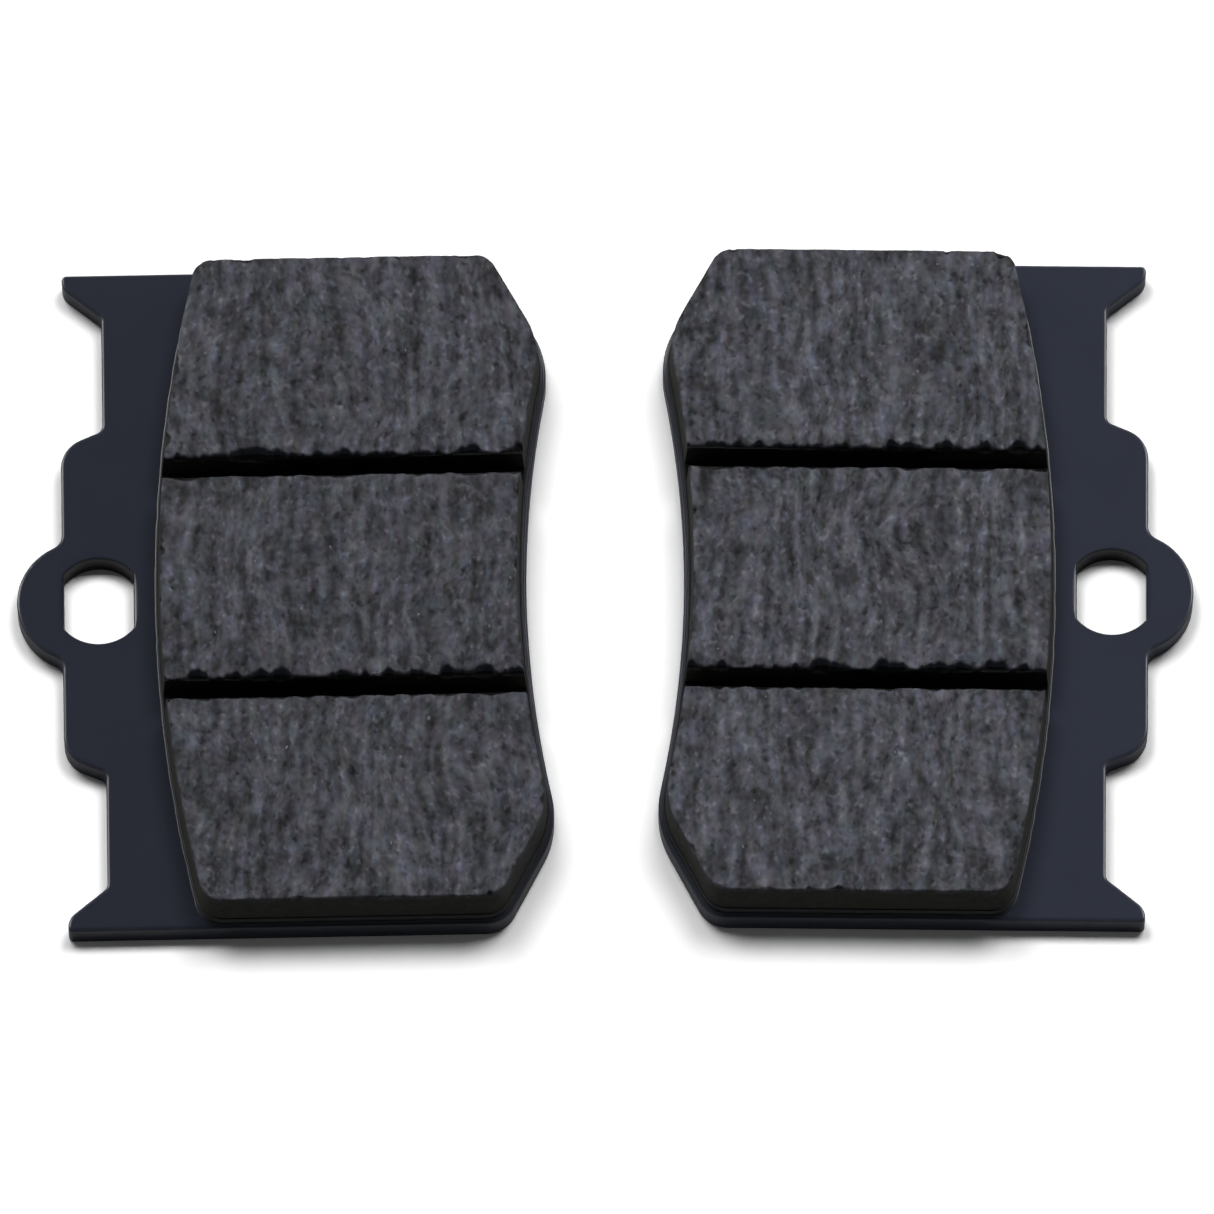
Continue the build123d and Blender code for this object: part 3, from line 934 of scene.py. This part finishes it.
class BRAKEPADS_OT_backing_plates(bpy.types.Operator):
    """Finish the two backing plates"""

    bl_idname = "brakepads.backing_plates"
    bl_label = "Backing plates"

    def execute(self, context):
        settings = context.scene.brake_pads
        for side_name, side in SIDES.items():
            node_name = side_name + "_backing_plate"
            # Painted lighting: each plate's coat is darkened or lightened by its own factor.
            tone = getattr(settings.colours, side_name + "_coat")
            mesh = bpy.data.meshes.new(side_name + "_coated_plate")
            work = bmesh.new()
            work.from_mesh(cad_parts[node_name].data)
            bmesh.ops.remove_doubles(work, verts=work.verts, dist=0.001 * MM)
            bmesh.ops.dissolve_degenerate(work, edges=work.edges, dist=0.0005 * MM)
            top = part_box(node_name)[1].z
            points, faces = hole_rings(settings.band, settings.layers, top)
            outline, ways = Band(settings.band).loop(OUTLINE_STEP)
            box = outline + settings.layers.bead_reach * ways
            film = side_name + "_bond_film"
            points = settle(points, side, settings.band, film, box)[0]
            radius = settings.band.hole_radius
            cut_hole(work, points, faces, top, radius + 1.0 * MM)
            edge = work.faces.layers.float.new("edge")
            bore = work.faces.layers.float.new("bore")
            middle = Vector(points.mean(0)).xy
            for face in work.faces:
                face.smooth = True
                # Faces of the pin hole's wall, which the coat darkens as painted shade.
                near = (face.calc_center_median().xy - middle).length < radius + 0.4 * MM
                face[bore] = 1.0 if near and abs(face.normal.z) < 0.5 else 0.0
                # Fillet faces, which the coat makes paler: partly thin coat, partly painted highlight.
                face[edge] = 1.0 if 0.12 < abs(face.normal.z) < 0.97 else 0.0
            for line in work.edges:
                line.smooth = line.calc_face_angle(0) < math.radians(32)
            made = finish_object(mesh, work)
            finish = coat_finish(side_name + " electrocoat", settings.colours, tone)
            made.data.materials.append(finish)
            weigh = made.modifiers.new("Even flats", "WEIGHTED_NORMAL")
            weigh.keep_sharp = True
            keep_result(made, weigh)
            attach(made, "root")
            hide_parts(node_name)
        return {"FINISHED"}


class BRAKEPADS_OT_bond_film(bpy.types.Operator):
    """Press the adhesive out into a bead round each friction block"""

    bl_idname = "brakepads.bond_film"
    bl_label = "Bond film"

    def execute(self, context):
        settings = context.scene.brake_pads
        sizes, layers = settings.band, settings.layers
        for side_name, side in SIDES.items():
            node_name = side_name + "_bond_film"
            low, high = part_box(node_name)
            outline, ways = Band(sizes).loop(OUTLINE_STEP)
            drawn = wander(outline, 1.6 * MM, side) * layers.bead_waver
            drawn += wander(outline, 0.4 * MM, side + 3) * layers.bead_waver / 3
            # The film starts and ends under the underlayer, and its bead swells between them.
            covered = outline + (layers.underlayer_reach / 2) * ways
            rings = [at_height(covered, low.z)]
            foot = layers.bead_reach - drawn
            top = layers.underlayer_reach - 0.04 * MM
            for turn in np.linspace(0, math.pi / 2, 6):
                reach = top + (foot - top) * math.cos(turn)
                z = low.z + (high.z - low.z) * math.sin(turn)
                rings.append(at_height(outline + reach[:, None] * ways, z))
            rings.append(at_height(covered, high.z))
            faces = ring_faces(len(rings), len(outline))
            for middle, circle in keying_rings(sizes):
                start = sum(map(len, rings))
                wall = middle + sizes.keying_radius * circle
                rings += [at_height(wall, low.z), at_height(wall, high.z)]
                faces += [[start + i for i in face] for face in ring_faces(2, len(circle))]
            points = np.concatenate(rings)
            box = outline + layers.bead_reach * ways
            name = side_name + "_bond_bead"
            made = ring_object(name, points, faces, side, sizes, node_name, box)
            name = side_name + " bond adhesive"
            finish = layer_finish(name, settings.colours.bead, 0.45, 0.95, 0.28)
            made.data.materials.append(finish)
            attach(made, "root")
            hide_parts(node_name)
        return {"FINISHED"}


class BRAKEPADS_OT_underlayers(bpy.types.Operator):
    """Mould the insulating layer and the plugs that key it into the plate"""

    bl_idname = "brakepads.underlayers"
    bl_label = "Underlayers"

    def execute(self, context):
        settings = context.scene.brake_pads
        sizes, layers = settings.band, settings.layers
        for side_name, side in SIDES.items():
            node_name = side_name + "_underlayer"
            # Painted lighting: the left underlayer is darkened by its block's factor.
            tone = getattr(settings.colours, side_name + "_block")
            low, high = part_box(node_name)
            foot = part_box(side_name + "_bond_film")[1].z
            outline, ways = Band(sizes).loop(OUTLINE_STEP)
            rings = []
            worn = layers.underlayer_round
            profile = [(0.0, foot), (0.0, (foot + high.z) / 2), (0.0, high.z - worn)]
            for turn in (0.5, 1.0, 1.571):
                back = worn * (1 - math.cos(turn))
                profile.append((back, high.z - worn + worn * math.sin(turn)))
            for i, (back, z) in enumerate(profile):
                drawn = wander(outline, 0.7 * MM, side + i * 0.3) * 0.03 * MM
                reach = layers.underlayer_reach - back - drawn
                rings.append(at_height(outline + reach[:, None] * ways, z))
            faces = ring_faces(len(rings), len(outline))
            # Plugs: a wall down from the layer and a grainy end.
            plug = [(1.0, foot), (1.0, low.z + 0.25 * MM), (0.985, low.z)]
            plug += [(share, low.z) for share in np.linspace(0.95, 0.0, 20)]
            for middle, circle in keying_rings(sizes):
                start = sum(map(len, rings))
                for share, z in plug:
                    flat = middle + share * sizes.keying_radius * circle
                    grainy = wander(flat, 0.6 * MM, side * 5) * 0.08 * MM
                    rings.append(at_height(flat, z + grainy if z == low.z else z))
                faces += [[start + i for i in face] for face in ring_faces(len(plug), len(circle))]
            points = np.concatenate(rings)
            box = outline + layers.underlayer_reach * ways
            name = side_name + "_insulating_layer"
            made = ring_object(name, points, faces, side, sizes, node_name, box)
            name = side_name + " underlayer"
            finish = layer_finish(name, settings.colours.underlayer, 0.7, tone, 0.3)
            made.data.materials.append(finish)
            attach(made, "root")
            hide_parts(node_name)
        return {"FINISHED"}


class BRAKEPADS_OT_friction_blocks(bpy.types.Operator):
    """Press, slot and grind the two friction blocks"""

    bl_idname = "brakepads.friction_blocks"
    bl_label = "Friction blocks"

    def execute(self, context):
        settings = context.scene.brake_pads
        tree = grinding_tree()
        grind = settings.grind
        values = {"Seed": float(grind.seed)}
        for item in tree.interface.items_tree:
            if item.socket_type == "NodeSocketFloat" and item.name != "Seed":
                values[item.name] = getattr(grind, item.name.lower().replace(" ", "_"))
        for side_name, side in SIDES.items():
            node_name = side_name + "_friction_block"
            # Painted lighting: the left block is darkened by its own factor.
            tone = getattr(settings.colours, side_name + "_block")
            name = side_name + " friction compound"
            finish = compound_finish(name, settings.colours, grind, tone)
            made = block_blank(side_name + "_ground_block", side, settings, node_name)
            apply_tree(made, tree, {**values, "Finish": finish})
            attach(made, "root")
            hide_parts(node_name)
        return {"FINISHED"}


class BRAKEPADS_OT_flecks(bpy.types.Operator):
    """Set pale flecks into the ground faces"""

    bl_idname = "brakepads.flecks"
    bl_label = "Flecks"

    def execute(self, context):
        settings = context.scene.brake_pads
        tree = fleck_tree()
        finish = fleck_finish("mineral flakes", settings.colours.fleck)
        for side_name, side in SIDES.items():
            ground = bpy.data.objects[side_name + "_ground_block"]
            made = bpy.data.objects.new(side_name + "_flecks", ground.data.copy())
            context.scene.collection.objects.link(made)
            values = {
                "Density": settings.grind.fleck_density,
                "Fleck size": settings.grind.fleck_size,
                "Sunk": settings.grind.fleck_sunk,
                "Seed": settings.grind.seed + side,
                "Finish": finish,
            }
            apply_tree(made, tree, values)
            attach(made, "root")
        return {"FINISHED"}


class BRAKEPADS_OT_stage(bpy.types.Operator):
    """Lay the floor, hang the lamps and set the camera"""

    bl_idname = "brakepads.stage"
    bl_label = "Stage"

    def execute(self, context):
        settings = context.scene.brake_pads
        stage = settings.stage
        scene = context.scene

        # Floor and room
        mesh = bpy.data.meshes.new("studio_floor")
        work = bmesh.new()
        bmesh.ops.create_circle(work, cap_ends=True, segments=96, radius=stage.floor)
        work.to_mesh(mesh)
        work.free()
        floor = bpy.data.objects.new("studio_floor", mesh)
        scene.collection.objects.link(floor)
        floor.data.materials.append(floor_finish())

        world = bpy.data.worlds.new("studio")
        scene.world = world
        world.use_nodes = True
        light_room(world.node_tree)

        tilt = stage.shadow_elevation
        lamps = [
            # name, azimuth, elevation, distance, width, height, watts, seen by gloss alone
            ("left key", -32.6, math.degrees(tilt), 1.5, 0.5, 0.5, 10.5, False),
            ("right key", 32.6, math.degrees(tilt), 1.5, 0.5, 0.5, 10.5, False),
            ("left side", -90.0, 14.0, 1.2, 0.5, 0.5, 0.6, False),
            ("left edge light", -64.0, 14.0, 1.2, 0.6, 0.6, 18.0, True),
            ("right edge light", 64.0, 14.0, 1.2, 0.6, 0.6, 18.0, True),
        ]
        for name, azimuth, elevation, distance, width, height, power, gloss in lamps:
            data = bpy.data.lights.new(name, "AREA")
            data.shape = "ELLIPSE"
            data.size = width
            data.size_y = height
            data.energy = power
            lamp = bpy.data.objects.new(name, data)
            a, e = math.radians(azimuth), math.radians(elevation)
            toward = Vector((math.sin(a) * math.cos(e), math.cos(a) * math.cos(e), math.sin(e)))
            lamp.location = toward * distance
            lamp.rotation_euler = toward.to_track_quat("Z", "Y").to_euler()
            lamp.visible_diffuse = not gloss
            lamp.visible_glossy = gloss
            scene.collection.objects.link(lamp)

        data = bpy.data.cameras.new("camera")
        data.lens = stage.focal_length
        data.sensor_width = 36.0
        data.clip_end = 20.0
        camera = bpy.data.objects.new("camera", data)
        reach = stage.camera_distance
        camera.location = (
            0.17 * MM,
            -0.17 * MM - reach * math.sin(stage.camera_tilt),
            reach * math.cos(stage.camera_tilt),
        )
        camera.rotation_euler = Euler((stage.camera_tilt, 0.0, 0.0))
        scene.collection.objects.link(camera)
        scene.camera = camera
        scene.view_settings.view_transform = "Standard"
        return {"FINISHED"}


def seen_rays(tree, shares):
    """How much a ray sees of the white, by the kinds of ray and their shares."""
    path = node(tree, "ShaderNodeLightPath").outputs
    seen = 0.0
    for name, share in shares.items():
        part = {0: path[name], 1: share, 2: seen}
        seen = node(tree, "ShaderNodeMath", part, operation="MULTIPLY_ADD")
    return seen


def floor_finish():
    """Matt studio board, white to the camera and grey in the light that it throws back; gloss sees it a
    little paler than that grey. It takes shadows.
    """
    material = bpy.data.materials.new("white studio board")
    material.use_nodes = True
    tree = material.node_tree
    tree.nodes.remove(tree.nodes["Principled BSDF"])
    seen = seen_rays(tree, {"Is Camera Ray": 1.0, "Is Transmission Ray": 1.0, "Is Glossy Ray": 0.14})
    tones = {0: seen, 6: rgba((0.36, 0.36, 0.37)), 7: rgba((1.2, 1.2, 1.2))}
    board = node(tree, "ShaderNodeMix", tones, data_type="RGBA")
    white = node(tree, "ShaderNodeBsdfDiffuse", {"Color": board})
    feed(tree, tree.nodes["Material Output"], {"Surface": white})
    return material


def light_room(tree):
    """A white room: pale walls at the sides and behind, a dark front wall and ceiling."""
    place = node(tree, "ShaderNodeTexCoord").outputs["Generated"]
    place = node(tree, "ShaderNodeSeparateXYZ", {0: place}).outputs
    ceiling = {"Value": place["Z"], "From Min": 0.3, "From Max": 0.7, "To Min": 0.8, "To Max": 0.1}
    wall = node(tree, "ShaderNodeMapRange", ceiling, interpolation_type="SMOOTHSTEP")
    front = {"Value": place["Y"], "From Min": -0.9, "From Max": 0.1, "To Min": 0.15}
    front = node(tree, "ShaderNodeMapRange", front, interpolation_type="SMOOTHSTEP")
    wall = node(tree, "ShaderNodeMath", {0: wall, 1: front}, operation="MULTIPLY")
    glossy = node(tree, "ShaderNodeMix", {0: seen_rays(tree, {"Is Glossy Ray": 1.0}), 2: 0.055, 3: wall})
    white = seen_rays(tree, {"Is Camera Ray": 1.0, "Is Transmission Ray": 1.0})
    strength = node(tree, "ShaderNodeMix", {0: white, 2: glossy, 3: 1.0})
    feed(tree, tree.nodes["Background"], {"Strength": strength, "Color": rgba((1.0, 1.0, 1.0))})


class BrakePadSettings(bpy.types.PropertyGroup):
    """All the settings of the pair."""

    band: bpy.props.PointerProperty(type=BandSizes)
    layers: bpy.props.PointerProperty(type=LayerSizes)
    grind: bpy.props.PointerProperty(type=GrindSizes)
    colours: bpy.props.PointerProperty(type=PadColours)
    stage: bpy.props.PointerProperty(type=StageSizes)


STEPS = (
    BRAKEPADS_OT_stage,
    BRAKEPADS_OT_backing_plates,
    BRAKEPADS_OT_bond_film,
    BRAKEPADS_OT_underlayers,
    BRAKEPADS_OT_friction_blocks,
    BRAKEPADS_OT_flecks,
)


class VIEW3D_PT_brake_pads(bpy.types.Panel):
    """Lists the steps that finish the pair"""

    bl_idname = "VIEW3D_PT_brake_pads"
    bl_label = "Brake pads"
    bl_space_type = "VIEW_3D"
    bl_region_type = "UI"
    bl_category = "Brake pads"

    def draw(self, context):
        for step in STEPS:
            self.layout.operator(step.bl_idname)


CLASSES = (
    BandSizes,
    LayerSizes,
    GrindSizes,
    PadColours,
    StageSizes,
    BrakePadSettings,
    *STEPS,
    VIEW3D_PT_brake_pads,
)


def register():
    for made in CLASSES:
        bpy.utils.register_class(made)
    bpy.types.Scene.brake_pads = bpy.props.PointerProperty(type=BrakePadSettings)


def unregister():
    del bpy.types.Scene.brake_pads
    for made in reversed(CLASSES):
        bpy.utils.unregister_class(made)


def main():
    register()
    for step in STEPS:
        group, name = step.bl_idname.split(".")
        getattr(getattr(bpy.ops, group), name)()


if __name__ == "__main__":
    main()
